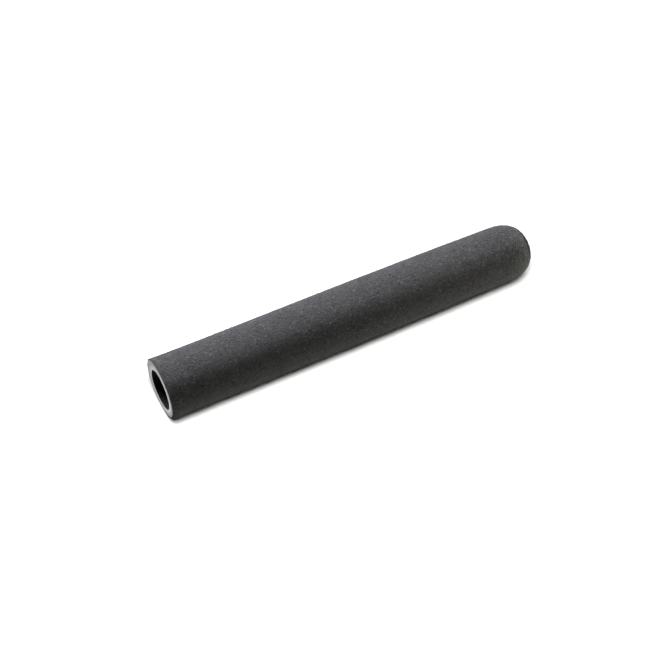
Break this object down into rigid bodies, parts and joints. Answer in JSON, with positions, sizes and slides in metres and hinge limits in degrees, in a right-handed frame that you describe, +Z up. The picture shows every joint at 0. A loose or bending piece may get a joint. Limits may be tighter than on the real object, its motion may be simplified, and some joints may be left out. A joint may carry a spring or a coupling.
{
  "type": "foam microphone windscreen",
  "caption": "Long slip-on foam tube with a blunt closed nose, a thin smooth ring set into its mouth and a deep blind bore for a slim microphone.",
  "frame": {"origin": "on the surface that it lies on, below the middle of its length", "axes": "+X along the bore from the open mouth to the domed nose, +Z up"},
  "size_m": [0.196, 0.0298, 0.0299],
  "materials": {
    "sleeve_foam": "matte charcoal open-cell foam with fine pores",
    "nose_foam": "matte charcoal open-cell foam with fine pores, moulded to a dome",
    "mouth_facing": "smooth satin grey skin, lighter towards the bore",
    "cured_glue": "thin flexible amber-brown film"
  },
  "bodies": {
    "root": {"foam_sleeve": "sleeve_foam", "foam_nose": "nose_foam", "mouth_ring": "mouth_facing", "nose_glue": "cured_glue", "ring_glue": "cured_glue"}
  },
  "joints": []
}
